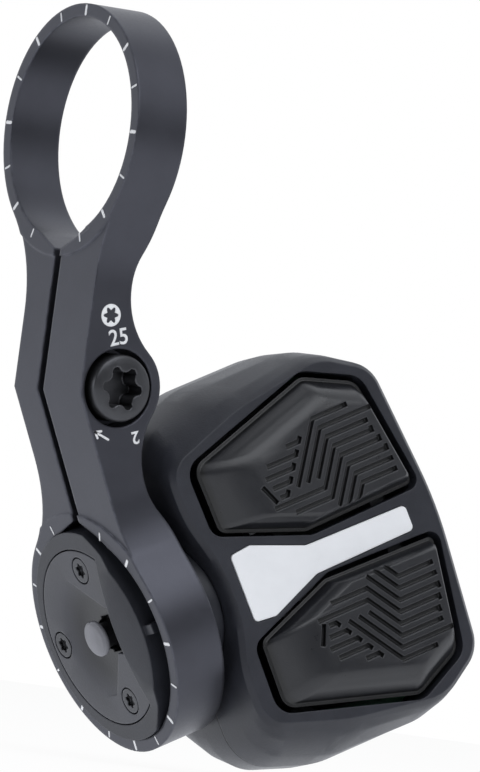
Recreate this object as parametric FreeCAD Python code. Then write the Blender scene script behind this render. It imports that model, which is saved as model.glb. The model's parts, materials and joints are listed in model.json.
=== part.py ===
import FreeCAD, Part
import math
import os

V = FreeCAD.Vector

# Electronic shifter for a bicycle handlebar. All sizes are in millimetres.
# The frame has its origin at the middle of the handlebar bore, +X along that bore
# towards the pod, +Y to the back and +Z up. The pod is drawn in a frame of its own,
# with the same directions and its origin in the middle of the lower clamp ring.

# Bar clamp
BAR_R = 11.1
RING_WALL = 1.3
RING_WIDTH = 5.7
RING_TO_BEND = 26.2
BEND_DEG = 27.0
ARM_BACK = 4.3
ARM_FRONT = 8.2
BACK_NECK_R = 13.0
FRONT_NECK_R = 16.0
NECK_WIDTH = 4.5
NECK_START = 8.5
NECK_END = 14.8
BOSS_NECK_R = 8.0
SLIT_WIDTH = 1.2
SLIT_OFFSET = 0.6
NOTCH_HALF = 2.7
NOTCH_DEPTH = 1.3
FACE_STEP = 0.2
FACE_BAND = 0.5

# Clamp bolt
BOLT_INSET = 4.6
BOLT_BOSS_R = 4.9
BOLT_R = 2.0
BOLT_HOLE_GAP = 0.25
THREAD_GAP = 0.02
HEAD_R = 3.35
HEAD_H = 4.0
HEAD_PROUD = 0.9
HEAD_GAP = 0.55
HEAD_ROUND = 0.45
BOLT_END_SHORT = 0.3
SOCKET_R = 2.25
SOCKET_DEPTH = 2.4
LOBE_HALF_DEG = 11.0
LOBE_SIDE = 0.93
LOBE_WAIST = 0.72
ROUND_STEP = 0.3

# Pod housing
SWIVEL_DEG = -10.8
SWIVEL_GAP = 0.05
ROOT_R = 9.8
ROOT_STEP = 0.55
ROOT_LENGTH = 2.75
ROOT_GAP = 0.2
POD_GAP = 1.1
POD_LENGTH = 28.4
POD_HALF = 20.0
PARTING_Y = -3.3
FRONT_Y = -11.5
BACK_Y = 10.0
WALL = 1.5
BOSS_WALL = 4.0
FRONT_BEVEL = 0.5
BAND_END = 0.0
LEAST_ROUND = 1.0

# Outlines of the pod: corners from the boss side over the top to the far side, as shares of
# its length and half height, each with its rounding as a share of the length. The last
# corner lies on the middle line, and the lower half mirrors the upper one.
PARTING_CORNERS = (
    (0.012, 0.14, 0.5), (0.0, 0.41, 0.5), (0.0, 0.86, 0.18), (0.3, 1.0, 0.35),
    (0.72, 1.0, 0.28), (0.974, 0.768, 0.14), (1.013, 0.0, 1.4),
)
FRONT_CORNERS = (
    (0.063, 0.13, 0.5), (0.005, 0.41, 0.5), (0.007, 0.695, 0.12), (0.336, 0.843, 0.7),
    (0.734, 0.925, 0.2), (0.931, 0.76, 0.13), (0.984, 0.0, 1.4),
)
BACK_CORNERS = (
    (0.058, 0.13, 0.5), (0.048, 0.3, 0.5), (0.048, 0.475, 0.12), (0.319, 0.84, 0.2),
    (0.706, 0.88, 0.2), (0.91, 0.65, 0.14), (0.967, 0.0, 1.4),
)
BOSS_SIDE_CORNERS = 2
WINDOW_CORNERS = (
    (0.084, 0.287, 0.056), (0.078, 0.655, 0.077), (0.648, 0.88, 0.085),
    (0.868, 0.74, 0.085), (0.944, 0.115, 0.042), (0.461, 0.1, 0.07),
)
BADGE_CORNERS = (
    (0.118, 0.18, 0.018), (0.208, 0.192, 0.032), (0.42, 0.08, 0.053), (0.852, 0.07, 0.022),
)

# Steps of the moulded shoulders: share of the depth, and share of the way to the next outline
FRONT_STEPS = ((0.0, 0.0), (0.48, 0.2), (0.86, 0.68), (1.0, 1.0))
BACK_STEPS = ((0.0, 0.0), (0.3, 0.18), (0.65, 0.5), (0.9, 0.82), (1.0, 1.0))

# Windows and paddles
WINDOW_CUT_Y = -6.6
PADDLE_GAP = 0.9
PADDLE_LEFT_GAP = 1.45
PADDLE_LOW_GAP = 0.75
PADDLE_ROUND = 0.3
PADDLE_TOP_Y = -13.3
PADDLE_WAIST_Y = -11.1
PADDLE_BASE_Y = -9.0
LIP = 0.35
LIP_T = 0.35
HINGE_Y = -7.6
HINGE_Z = 4.3
HINGE_R = 0.7
HINGE_GAP = 0.05
BARREL_R = 1.4
BARREL_AT = 0.354
BARREL_SHARE = 0.42
LUG_T = 1.6
LUG_GAP = 0.3
LUG_WALL = 1.0
LUG_STEM = 2.8
PIN_GAP = 0.02
POST_R = 1.6
POST_AT = (0.53, 0.53)
POST_CLEAR = 0.8

# Crown of a paddle: width of the slope inside each edge from the left edge round the top,
# and the crown's steps as shares of that width and of the rise
PADDLE_SLOPES = (5.2, 2.6, 2.2, 0.9, 0.8, 1.3)
CROWN_STEPS = ((0.0, 0.0), (0.42, 0.62), (0.78, 0.91), (1.0, 1.0))

# Tread of the paddles: knees of the zigzag grooves, one pitch from the next
TREAD_PITCH = 1.12
TREAD_GROOVE = 0.5
TREAD_DEPTH = 0.55
TREAD_KNEE = (0.59, 0.643)
TREAD_LONG = 3
TREAD_HOOKED = (3, 4, 5)
TREAD_SHIFT = 0.4
TREAD_STEEP = 0.75
TREAD_DROP = 3.5
TREAD_RIGHT = (0.741, 0.829, 0.798, 0.798, 0.815, 0.829, 0.84, 0.84)
TREAD_LEFT = (0.322, 0.396)
TREAD_BRANCH_STARTS = (0.45, 0.35, 0.328, 0.343, 0.357)
TREAD_BRANCH_LEVEL = 1.57
TREAD_BRANCH_GAP = 1.2
TREAD_HOOK = 0.45
TREAD_BAR = ((0.306, 0.424), (0.34, 0.322))

# Badge plate
BADGE_T = 0.5
BADGE_DROP = 0.2
BADGE_SEAT = 0.4
BADGE_GAP = 0.08

# Board and switches
BOARD_T = 1.0
BOARD_GAP = 0.35
SEAT_GAP = 0.05
SWITCH_SIZE = 4.2
SWITCH_H = 1.2
PLUNGER_R = 1.0
PLUNGER_H = 0.25
MEMBRANE_T = 0.6
MEMBRANE_RIM = 1.0
DOME_R = 2.2
DOME_H = 0.3
RADIO_SIZE = (9.0, 7.0)
RADIO_H = 1.8
STANDOFF_R = 1.2

# Cell and its door
CELL_R = 10.0
CELL_T = 3.2
WELL_WALL = 2.0
WELL_SHIFT = 0.6
WELL_FLOOR_T = 0.8
DOOR_R = 11.0
DOOR_GAP = 0.06
DOOR_T = 2.4
DOOR_FLANGE_T = 1.1
DOOR_PLUG_R = 10.3
DOOR_SLOT_LENGTH = 10.0
DOOR_SLOT_WIDTH = 1.8
DOOR_SLOT_DEPTH = 0.9
LOCK_R = 11.8
LOCK_T = 0.6
LOCK_DEG = 28.0
LOCK_GAP = 0.3
DOOR_TURN_DEG = 45.0
SEAL_R = 0.3
CONTACT_T = 0.25
CONTACT_W = 4.0
CONTACT_REACH = 6.0
CONTACT_GAP = 0.1
CELL_STEP = 0.4
CELL_STEP_R = 9.0

# Boss end, cap and function button
BOSS_PROUD = 0.4
CAP_R = 9.2
CAP_SHIFT = 0.7
CAP_CHORD = 4.5
CAP_T = 1.3
CAP_GAP = 0.15
CAP_SEAL_T = 0.3
CAP_SEAL_WIDTH = 0.8
RELIEF_R = 14.0
RELIEF_FRONT = 8.4
RELIEF_DEPTH = 5.0
RIDGE_RISE = 0.9
RIDGE_REACH = 8.0
PEG_LOW = 0.35
PEG_LENGTH = 1.4
PEG_REACH = 9.9
PEG_ROOT = 0.8
PEG_Z = (-0.9, 0.1)
POCKET_R = 5.6
POCKET_END = 2.2
CAP_SCREW_R = 0.8
CAP_SCREW_HEAD_R = 1.3
CAP_SCREW_HEAD_H = 0.8
CAP_SCREW_LENGTH = 4.0
CAP_SCREW_PLACES = ((0.85, 6.95), (0.85, -6.95), (-8.1, 0.0))
KEY_R = 1.85
KEY_T = 0.75
KEY_ROUND = 0.25
KEY_STEM_R = 1.3
KEY_GAP = 0.3
KEY_PROUD = 0.9
KEY_FLANGE_R = 2.7
KEY_FLANGE_T = 0.6
KEY_SLOT = 1.9
DISH_DEPTH = 0.8
DISH_R = 7.0
DISH_FLOOR_R = 3.5
DISH_CORNERS = (
    (2.5, 6.3), (-2.8, 2.8), (-4.5, 2.6), (-4.5, -2.4), (-2.1, -2.0), (1.2, -6.1), (8.0, -6.1), (8.0, 6.3),
)
FUNCTION_BOARD_T = 0.8
FUNCTION_BOARD_GAP = 0.1
FLEX_T = 0.15
FLEX_W = 3.0
FLEX_GAP = 0.15
FLEX_REACH = 1.5

# Housing screws and seal
SCREW_R = 0.9
SCREW_HEAD_R = 1.6
SCREW_HEAD_H = 1.2
SCREW_TUBE_R = 2.3
SCREW_INSET = 7.0
SCREW_DROP = 4.1
SCREW_SEAT_Y = 1.0
SCREW_TIP_Y = -5.6
SEAL_INSET = 0.4
SEAL_WIDTH = 0.6
SEAL_DEPTH = 0.55
SEAL_GAP = 0.05

# Places worked out from the driving sizes
RING_R = BAR_R + RING_WALL
NEAR_X = -RING_WIDTH / 2
BEND = math.radians(BEND_DEG / 2)
BEND_POINT = V(NEAR_X, 0, -RING_TO_BEND)
BEND_NORMAL = V(-math.sin(BEND), 0, math.cos(BEND))
BOLT_X = NEAR_X + BOLT_INSET * math.cos(BEND)
BOLT_Z = -RING_TO_BEND + BOLT_INSET * math.sin(BEND)
BOSS_R = BAR_R - SWIVEL_GAP
BOSS_END = NEAR_X - BOSS_PROUD
ROOT_X = RING_WIDTH / 2 + ROOT_STEP
POD_X = RING_WIDTH / 2 + POD_GAP
BARREL_X = POD_X + POD_LENGTH * BARREL_AT
BARREL_LENGTH = POD_LENGTH * BARREL_SHARE
POST_X = POD_X + POD_LENGTH * POST_AT[0]
POST_Z = POD_HALF * POST_AT[1]
CAVITY_X = POD_X + BOSS_WALL
BOARD_BACK = PARTING_Y + BOARD_T
MEMBRANE_BACK = PARTING_Y - SWITCH_H - PLUNGER_H - SEAT_GAP
MEMBRANE_FRONT = MEMBRANE_BACK - MEMBRANE_T
POST_END_Y = MEMBRANE_FRONT - DOME_H - POST_CLEAR
WELL_X = POD_X + POD_LENGTH / 2 + WELL_SHIFT
DOOR_IN_Y = BACK_Y - DOOR_T
CELL_Y = DOOR_IN_Y - SEAT_GAP - CELL_T
FLOOR_Y = CELL_Y - SEAT_GAP - CONTACT_T
CAP_SEAT = BOSS_END + CAP_T + CAP_SEAL_T
KEY_FLANGE_X = BOSS_END + CAP_T + KEY_GAP
FUNCTION_BOARD_X = POCKET_END - FUNCTION_BOARD_T
BIG = 3 * POD_LENGTH
PAST = WALL / 2


def arc(a, mid, b):
    return Part.Arc(a, mid, b).toShape()


def line(a, b):
    return Part.makeLine(a, b)


def unit(v):
    return V(v).normalize()


def cyl(r, start, end):
    """Round bar from start to end."""
    return Part.makeCylinder(r, (end - start).Length, start, unit(end - start))


def box(x, y, z):
    """Block between the low and high values of x, y and z."""
    return Part.makeBox(x[1] - x[0], y[1] - y[0], z[1] - z[0], V(x[0], y[0], z[0]))


def offset(points, by):
    """Corners moved outwards: one distance, or one for each edge from a corner to the next."""
    n = len(points)
    each = by if isinstance(by, (list, tuple)) else [by] * n
    area = 0
    for i in range(n):
        (x0, z0), (x1, z1) = points[i], points[(i + 1) % n]
        area += x0 * z1 - x1 * z0
    side = 1 if area > 0 else -1
    lines = []
    for i in range(n):
        (x0, z0), (x1, z1) = points[i], points[(i + 1) % n]
        size = math.hypot(x1 - x0, z1 - z0)
        dx, dz = (x1 - x0) / size, (z1 - z0) / size
        lines.append((x0 + side * dz * each[i], z0 - side * dx * each[i], dx, dz))
    moved = []
    for i in range(n):
        x0, z0, ax, az = lines[i - 1]
        x1, z1, bx, bz = lines[i]
        t = ((x1 - x0) * bz - (z1 - z0) * bx) / (ax * bz - az * bx)
        moved.append((x0 + ax * t, z0 + az * t))
    return moved


def rounded(points, radii, y):
    """Closed wire in the plane at y, with each corner rounded to its own radius."""
    n = len(points)
    p = [V(x, y, z) for x, z in points]
    starts, mids, ends = [], [], []
    for i in range(n):
        back, ahead = unit(p[i - 1] - p[i]), unit(p[(i + 1) % n] - p[i])
        half = back.getAngle(ahead) / 2
        reach = radii[i] / math.tan(half)
        middle = unit(back + ahead)
        starts.append(p[i] + back * reach)
        ends.append(p[i] + ahead * reach)
        mids.append(p[i] + middle * (radii[i] / math.sin(half) - radii[i]))
    edges = []
    for i in range(n):
        edges.append(arc(starts[i], mids[i], ends[i]))
        edges.append(line(ends[i], starts[(i + 1) % n]))
    return Part.Wire(edges)


def prism(wire, depth):
    return Part.Face(wire).extrude(V(0, depth, 0))


def polygon_prism(points, y, depth):
    corners = [V(x, y, z) for x, z in points]
    return prism(Part.makePolygon(corners + corners[:1]), depth)


def flipped(points):
    """The outline mirrored from the upper half of the pod to the lower half."""
    return [(x, -z) for x, z in points]


def mirrored(shape):
    return shape.mirror(V(0, 0, 0), V(0, 0, 1))


def six_lobe(r, start, end):
    """Six-lobe key socket whose lobes reach the radius r."""
    axis = unit(end - start)
    across = V(1, 0, 0) if abs(axis.x) < 0.5 else V(0, 0, 1)

    def at(degrees, reach):
        return start + FreeCAD.Rotation(axis, degrees).multVec(across) * (r * reach)

    edges = []
    for tip in range(0, 360, 60):
        side = at(tip + LOBE_HALF_DEG, LOBE_SIDE)
        edges.append(arc(at(tip - LOBE_HALF_DEG, LOBE_SIDE), at(tip, 1.0), side))
        edges.append(arc(side, at(tip + 30, LOBE_WAIST), at(tip + 60 - LOBE_HALF_DEG, LOBE_SIDE)))
    return Part.Face(Part.Wire(edges)).extrude(end - start)


def turned_disc(r, round_r, top, bottom):
    """Disc from top to bottom whose top edge is rounded in two steps."""
    axis = unit(bottom - top)
    across = V(1, 0, 0) if abs(axis.x) < 0.5 else V(0, 0, 1)
    small = round_r * ROUND_STEP
    corners = [
        top,
        top + across * (r - round_r),
        top + across * (r - small) + axis * small,
        top + across * r + axis * round_r,
        bottom + across * r,
        bottom,
        top,
    ]
    return Part.Face(Part.makePolygon(corners)).revolve(top, axis, 360)


def placed(shape):
    """The shape moved from the pod's own frame to the part's frame."""
    ring = V(0, 0, 0) - BEND_POINT
    away = BEND_NORMAL * ring.dot(BEND_NORMAL)
    centre = BEND_POINT + ring - away * 2
    turn = FreeCAD.Rotation(V(0, 1, 0), -BEND_DEG) * FreeCAD.Rotation(V(1, 0, 0), SWIVEL_DEG)
    moved = shape.copy()
    moved.Placement = FreeCAD.Placement(centre, turn) * shape.Placement
    return moved


# Bar clamp: half of it is drawn, then mirrored in the plane through the bend

def neck(side_y, neck_r):
    """Places where a hollow neck leaves the ring and meets the arm's straight side."""
    sign = 1 if side_y > 0 else -1
    reach = abs(side_y) + neck_r
    drop = math.sqrt((RING_R + neck_r) ** 2 - reach ** 2)
    centre = V(0, sign * reach, -drop)
    on_ring = centre * (RING_R / (RING_R + neck_r))
    on_side = V(0, side_y, -drop)
    mid = centre + unit(unit(on_ring - centre) + unit(on_side - centre)) * neck_r
    return on_ring, mid, on_side


def side_profile():
    back_ring, back_mid, back_side = neck(ARM_BACK, BACK_NECK_R)
    front_ring, front_mid, front_side = neck(-ARM_FRONT, FRONT_NECK_R)
    low = -RING_TO_BEND - 2 * BOLT_BOSS_R
    back_end = V(0, ARM_BACK, low)
    front_end = V(0, -ARM_FRONT, low)
    edges = [
        arc(back_ring, V(0, 0, RING_R), front_ring),
        arc(front_ring, front_mid, front_side),
        line(front_side, front_end),
        line(front_end, back_end),
        line(back_end, back_side),
        arc(back_side, back_mid, back_ring),
    ]
    return Part.Face(Part.Wire(edges))


def ogee(a, b):
    """Two equal arcs that leave a and reach b along Z."""
    step, drop = a.x - b.x, a.z - b.z
    r = (step ** 2 + drop ** 2) / (4 * step)
    quarter = math.asin(drop / 2 / r) / 2
    middle = (a + b) * 0.5
    first = V(a.x - r + r * math.cos(quarter), a.y, a.z - r * math.sin(quarter))
    second = V(b.x + r - r * math.cos(quarter), b.y, b.z + r * math.sin(quarter))
    return [arc(a, first, middle), arc(middle, second, b)]


def front_profile():
    y = -BIG / 2
    top = RING_R + PAST
    bolt = V(BOLT_X, y, BOLT_Z)
    neck_x = NEAR_X + NECK_WIDTH
    hollow_x = neck_x + BOSS_NECK_R
    reach = BOLT_BOSS_R + BOSS_NECK_R
    hollow = V(hollow_x, y, BOLT_Z + math.sqrt(reach ** 2 - (hollow_x - BOLT_X) ** 2))
    leave = V(neck_x, y, hollow.z)
    touch = bolt + unit(hollow - bolt) * BOLT_BOSS_R
    hollow_mid = hollow + unit(unit(leave - hollow) + unit(touch - hollow)) * BOSS_NECK_R
    along = V(math.cos(BEND), 0, math.sin(BEND))
    far = bolt + along * BOLT_BOSS_R
    far_mid = bolt + unit(unit(touch - bolt) + along) * BOLT_BOSS_R
    bend = V(BEND_POINT.x, y, BEND_POINT.z)
    near_top = V(NEAR_X, y, top)
    far_top = V(-NEAR_X, y, top)
    ring_low = V(-NEAR_X, y, -NECK_START)
    neck_top = V(neck_x, y, -NECK_END)
    edges = [line(near_top, far_top), line(far_top, ring_low)]
    edges += ogee(ring_low, neck_top)
    edges += [
        line(neck_top, leave),
        arc(leave, hollow_mid, touch),
        arc(touch, far_mid, far),
        line(far, bend),
        line(bend, near_top),
    ]
    return Part.Face(Part.Wire(edges))


def clamp_half():
    width = RING_WIDTH + 2 * BOLT_BOSS_R
    side = side_profile().extrude(V(width, 0, 0))
    side.translate(V(NEAR_X, 0, 0))
    half = side.common(front_profile().extrude(V(0, BIG, 0)))
    half = half.cut(cyl(BAR_R, V(-BIG, 0, 0), V(BIG, 0, 0)))
    slit = (-SLIT_OFFSET - SLIT_WIDTH / 2, -SLIT_OFFSET + SLIT_WIDTH / 2)
    half = half.cut(box((-BIG, BIG), slit, (-BIG, -BAR_R + NOTCH_DEPTH)))
    apex = V(-BIG, -SLIT_OFFSET, -BAR_R - NOTCH_DEPTH)
    left = apex + V(0, 2 * NOTCH_HALF, 2 * NOTCH_DEPTH)
    right = apex + V(0, -2 * NOTCH_HALF, 2 * NOTCH_DEPTH)
    notch = Part.Face(Part.makePolygon([apex, left, right, apex])).extrude(V(2 * BIG, 0, 0))
    half = half.cut(notch)
    sunk = box((NEAR_X - PAST, NEAR_X + FACE_STEP), (-BIG, BIG), (-BIG, 0))
    sunk = sunk.cut(cyl(RING_R + FACE_BAND, V(-BIG, 0, 0), V(BIG, 0, 0)))
    return half.cut(sunk)


def bar_clamp():
    half = clamp_half()
    clamp = half.fuse(half.mirror(BEND_POINT, BEND_NORMAL)).removeSplitter()
    seat = -ARM_FRONT + HEAD_H - HEAD_PROUD
    bolt = V(BOLT_X, 0, BOLT_Z)
    clamp = clamp.cut(cyl(HEAD_R + HEAD_GAP, bolt + V(0, -BIG, 0), bolt + V(0, seat, 0)))
    clamp = clamp.cut(cyl(BOLT_R + BOLT_HOLE_GAP, bolt + V(0, seat, 0), bolt + V(0, -SLIT_OFFSET, 0)))
    return clamp.cut(cyl(BOLT_R + THREAD_GAP, bolt + V(0, -SLIT_OFFSET, 0), bolt + V(0, BIG, 0)))


def clamp_bolt():
    seat = -ARM_FRONT + HEAD_H - HEAD_PROUD
    top = seat - HEAD_H
    head = turned_disc(HEAD_R, HEAD_ROUND, V(0, top, 0), V(0, seat, 0))
    shank = cyl(BOLT_R, V(0, seat, 0), V(0, ARM_BACK - BOLT_END_SHORT, 0))
    bolt = head.fuse(shank)
    bolt = bolt.cut(six_lobe(SOCKET_R, V(0, top - PAST, 0), V(0, top + SOCKET_DEPTH, 0)))
    bolt.translate(V(BOLT_X, 0, BOLT_Z))
    return bolt


# Outlines of the pod, each as its corners and their roundings

def spot(along, up):
    """Place in the pod's front view from shares of its length and half height."""
    return POD_X + POD_LENGTH * along, POD_HALF * up


def upper_part(corners):
    return [spot(along, up) for along, up, _ in corners], [POD_LENGTH * r for _, _, r in corners]


def outline(corners):
    """Full outline from the corners of the upper half."""
    upper, radii = upper_part(corners)
    return upper + flipped(upper[:-1])[::-1], radii + radii[:-1][::-1]


def between(first, second, share):
    """Outline that lies a share of the way from the first outline to the second."""
    rows = []
    for a, b in zip(first, second):
        rows.append([p + (q - p) * share for p, q in zip(a, b)])
    return outline(rows)


def inner_outline(corners, wall):
    """Outline of the room inside the walls, straight along the boss side."""
    points, radii = outline(corners[BOSS_SIDE_CORNERS:])
    points = [(max(x, CAVITY_X), z) for x, z in offset(points, -wall)]
    return points, [max(r - wall, LEAST_ROUND) for r in radii]


def section(shape, y):
    points, radii = shape
    return rounded(points, radii, y)


def grown(shape, by):
    """The outline moved outwards, or inwards where the distance is negative."""
    points, radii = shape
    return offset(points, by), [max(r + by, LEAST_ROUND / 2) for r in radii]


def cavity(y0, y1, grow=0.0):
    return prism(section(grown(inner_outline(PARTING_CORNERS, WALL), grow), y0), y1 - y0)


# Paddles

def paddle_outline():
    gaps = (PADDLE_LEFT_GAP, PADDLE_GAP, PADDLE_GAP, PADDLE_GAP, PADDLE_GAP, PADDLE_LOW_GAP)
    return offset(upper_part(WINDOW_CORNERS)[0], [-gap for gap in gaps])


def paddle_radii(grow):
    return [max(r - PADDLE_GAP + grow, PADDLE_ROUND) for r in upper_part(WINDOW_CORNERS)[1]]


def paddle_crown():
    """Sloped and crowned top of the upper paddle, from its waist to its flat pad."""
    rise = PADDLE_TOP_Y - PADDLE_WAIST_Y
    wires = []
    for inwards, upwards in CROWN_STEPS:
        corners = offset(paddle_outline(), [-inwards * s for s in PADDLE_SLOPES])
        wires.append(rounded(corners, paddle_radii(0), PADDLE_WAIST_Y + upwards * rise))
    return Part.makeLoft(wires, True, True)


def zigzags():
    """Grooves that come in from the right, turn down at their knee and in part turn left again."""
    knee_x, knee_z = spot(*TREAD_KNEE)
    stop = knee_z - TREAD_DROP - TREAD_PITCH * (TREAD_LONG - 1)
    lines = []
    for i, share in enumerate(TREAD_RIGHT):
        right = spot(share, 0)[0]
        x, z = knee_x + TREAD_SHIFT * i, knee_z - TREAD_PITCH * i
        low = z - TREAD_DROP if i >= TREAD_LONG else stop
        points = [(right, z), (x, z), (x - (z - low) * TREAD_STEEP, low)]
        if i in TREAD_HOOKED:
            points.insert(0, (right, z + TREAD_HOOK))
        if 0 <= i - TREAD_LONG < len(TREAD_LEFT):
            points.append((spot(TREAD_LEFT[i - TREAD_LONG], 0)[0], low))
        lines.append(points)
    return lines


def branches():
    """Short grooves on the left, which end in a hook beside the first zigzag, and a closing bar."""
    knee_x, knee_z = spot(*TREAD_KNEE)
    lines = [[spot(*place) for place in TREAD_BAR]]
    for i, share in enumerate(TREAD_BRANCH_STARTS):
        drop = TREAD_BRANCH_LEVEL + TREAD_PITCH * i
        x, z = knee_x - drop * TREAD_STEEP - TREAD_BRANCH_GAP, knee_z - drop
        lines.append([(x + TREAD_HOOK * TREAD_STEEP, z + TREAD_HOOK), (x, z), (spot(share, 0)[0], z)])
    return lines


def groove(points):
    half = TREAD_GROOVE / 2
    right, left = [], []
    for i, (x, z) in enumerate(points):
        x0, z0 = points[max(i - 1, 0)]
        x1, z1 = points[min(i + 1, len(points) - 1)]
        back = unit(V(x - x0, 0, z - z0)) if i else unit(V(x1 - x, 0, z1 - z))
        ahead = unit(V(x1 - x, 0, z1 - z)) if i < len(points) - 1 else back
        across = unit(back + ahead).cross(V(0, 1, 0))
        size = half / math.cos(back.getAngle(ahead) / 2)
        right.append((x + across.x * size, z + across.z * size))
        left.append((x - across.x * size, z - across.z * size))
    return polygon_prism(right + left[::-1], PADDLE_TOP_Y - PAST, PAST + TREAD_DEPTH)


def upper_paddle():
    base = prism(rounded(paddle_outline(), paddle_radii(0), PADDLE_BASE_Y), PADDLE_WAIST_Y - PADDLE_BASE_Y)
    lip_y = PADDLE_WAIST_Y
    lip = prism(rounded(offset(paddle_outline(), LIP), paddle_radii(LIP), lip_y), LIP_T)
    body = base.fuse(lip).fuse(paddle_crown())
    for points in zigzags() + branches():
        body = body.cut(groove(points))
    hinge = V(BARREL_X, HINGE_Y, HINGE_Z)
    along = V(BARREL_LENGTH, 0, 0)
    barrel = cyl(BARREL_R, hinge, hinge + along)
    web = box((BARREL_X, BARREL_X + BARREL_LENGTH), (PADDLE_BASE_Y - LIP_T, HINGE_Y),
              (HINGE_Z - BARREL_R, HINGE_Z + BARREL_R))
    post = cyl(POST_R, V(POST_X, PADDLE_BASE_Y - LIP_T, POST_Z), V(POST_X, POST_END_Y, POST_Z))
    body = body.multiFuse([barrel, web, post])
    return body.cut(cyl(HINGE_R + HINGE_GAP, hinge - along, hinge + along * 2))


def pin_ends():
    reach = LUG_GAP + LUG_T
    return BARREL_X - reach, BARREL_X + BARREL_LENGTH + reach


def hinge_pin():
    low, high = pin_ends()
    return cyl(HINGE_R, V(low, HINGE_Y, HINGE_Z), V(high, HINGE_Y, HINGE_Z))


# Housing halves

def badge_outline():
    """White inlay between the paddles."""
    upper, radii = upper_part(BADGE_CORNERS)
    points = [(x, z - BADGE_DROP) for x, z in upper + flipped(upper)[::-1]]
    return points, radii + radii[::-1]


def hinge_lugs():
    """Cross plates under the bridge between the windows, with seats for both hinge pins."""
    reach = HINGE_Z + HINGE_R + LUG_WALL
    low = HINGE_Y + HINGE_R + LUG_WALL
    lugs = []
    for x in (BARREL_X - LUG_GAP - LUG_T, BARREL_X + BARREL_LENGTH + LUG_GAP):
        plate = box((x, x + LUG_T), (HINGE_Y - HINGE_R, low), (-reach, reach))
        stem = box((x, x + LUG_T), (FRONT_Y + WALL / 2, low), (-LUG_STEM / 2, LUG_STEM / 2))
        lugs.append(plate.fuse(stem))
    return lugs


def pin_seats():
    seats = []
    low, high = pin_ends()
    for z in (HINGE_Z, -HINGE_Z):
        seats.append(cyl(HINGE_R + PIN_GAP, V(low, HINGE_Y, z), V(high, HINGE_Y, z)))
    return seats


def root_seat():
    """Room in the front cover for the root of the boss."""
    return cyl(ROOT_R + ROOT_GAP, V(-BIG, 0, 0), V(ROOT_X + ROOT_LENGTH + ROOT_GAP, 0, 0))


def screw_places():
    x, z = POD_X + SCREW_INSET, POD_HALF - SCREW_DROP
    return [(x, z), (x, -z)]


def front_cover():
    rim_y = FRONT_Y + FRONT_BEVEL
    wires = []
    for deep, share in FRONT_STEPS:
        y = PARTING_Y + (rim_y - PARTING_Y) * deep
        wires.append(section(between(PARTING_CORNERS, FRONT_CORNERS, share), y))
    wires.append(section(grown(outline(FRONT_CORNERS), -FRONT_BEVEL), FRONT_Y))
    shell = Part.makeLoft(wires, True, True)
    room = Part.makeLoft([
        section(inner_outline(PARTING_CORNERS, WALL), PARTING_Y),
        section(inner_outline(FRONT_CORNERS, WALL), FRONT_Y + WALL),
    ], True, True)
    posts = []
    for x, z in screw_places():
        posts.append(cyl(SCREW_TUBE_R, V(x, PARTING_Y, z), V(x, FRONT_Y + WALL / 2, z)))
    room = room.cut(Part.makeCompound(posts))
    shell = shell.cut(room)
    window = prism(section(upper_part(WINDOW_CORNERS), WINDOW_CUT_Y), FRONT_Y - PAST - WINDOW_CUT_Y)
    shell = shell.cut(window).cut(mirrored(window))
    shell = shell.multiFuse(hinge_lugs())
    shell = shell.cut(Part.makeCompound(pin_seats()))
    shell = shell.cut(root_seat())
    for x, z in screw_places():
        shell = shell.cut(cyl(SCREW_R + PIN_GAP, V(x, PARTING_Y, z), V(x, SCREW_TIP_Y - PIN_GAP, z)))
    seat = prism(section(badge_outline(), FRONT_Y - PAST), PAST + BADGE_SEAT)
    return shell.cut(seat).removeSplitter()


def badge_plate():
    return prism(section(grown(badge_outline(), -BADGE_GAP), FRONT_Y + BADGE_SEAT), -BADGE_T)


def seal_ring(y0, y1, gap):
    outer = cavity(y0, y1, SEAL_INSET + SEAL_WIDTH + gap)
    return outer.cut(cavity(y0, y1, SEAL_INSET - gap))


def standoff_places():
    side = CELL_R * math.sqrt(0.5)
    return [(WELL_X + sx * side, sz * side) for sx in (-1, 1) for sz in (-1, 1)]


def lock_lugs(gap, y0, y1, turn):
    """The two bayonet lugs of the door, or the room for them, turned about the door's axis."""
    lugs = []
    for start in (0.0, 180.0):
        spread = LOCK_DEG + 2 * math.degrees(gap / LOCK_R)
        lug = Part.makeCylinder(LOCK_R + gap, y1 - y0, V(0, 0, 0), V(0, 1, 0), spread)
        lug.rotate(V(0, 0, 0), V(0, 1, 0), start + turn - spread / 2)
        lug.translate(V(WELL_X, y0, 0))
        lugs.append(lug)
    return lugs


def lock_room():
    """Groove for the lugs in the well's wall, and the two ways in from the back."""
    low, high = DOOR_IN_Y - LOCK_GAP, DOOR_IN_Y + LOCK_T + LOCK_GAP
    ring = cyl(LOCK_R + LOCK_GAP, V(WELL_X, low, 0), V(WELL_X, high, 0))
    return ring.multiFuse(lock_lugs(LOCK_GAP, low, BACK_Y + PAST, DOOR_TURN_DEG))


def negative_leg(gap):
    x = WELL_X + CONTACT_REACH
    half = CONTACT_W / 2 + gap
    return box((x - CONTACT_T - gap, x + gap), (BOARD_BACK, FLOOR_Y + CONTACT_T), (-half, half))


def positive_leg(gap):
    x = WELL_X + CELL_R + CONTACT_GAP
    half = CONTACT_W / 2 + gap
    return box((x - gap, x + CONTACT_T + gap), (BOARD_BACK, CELL_Y + CELL_T - CONTACT_T), (-half, half))


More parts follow.
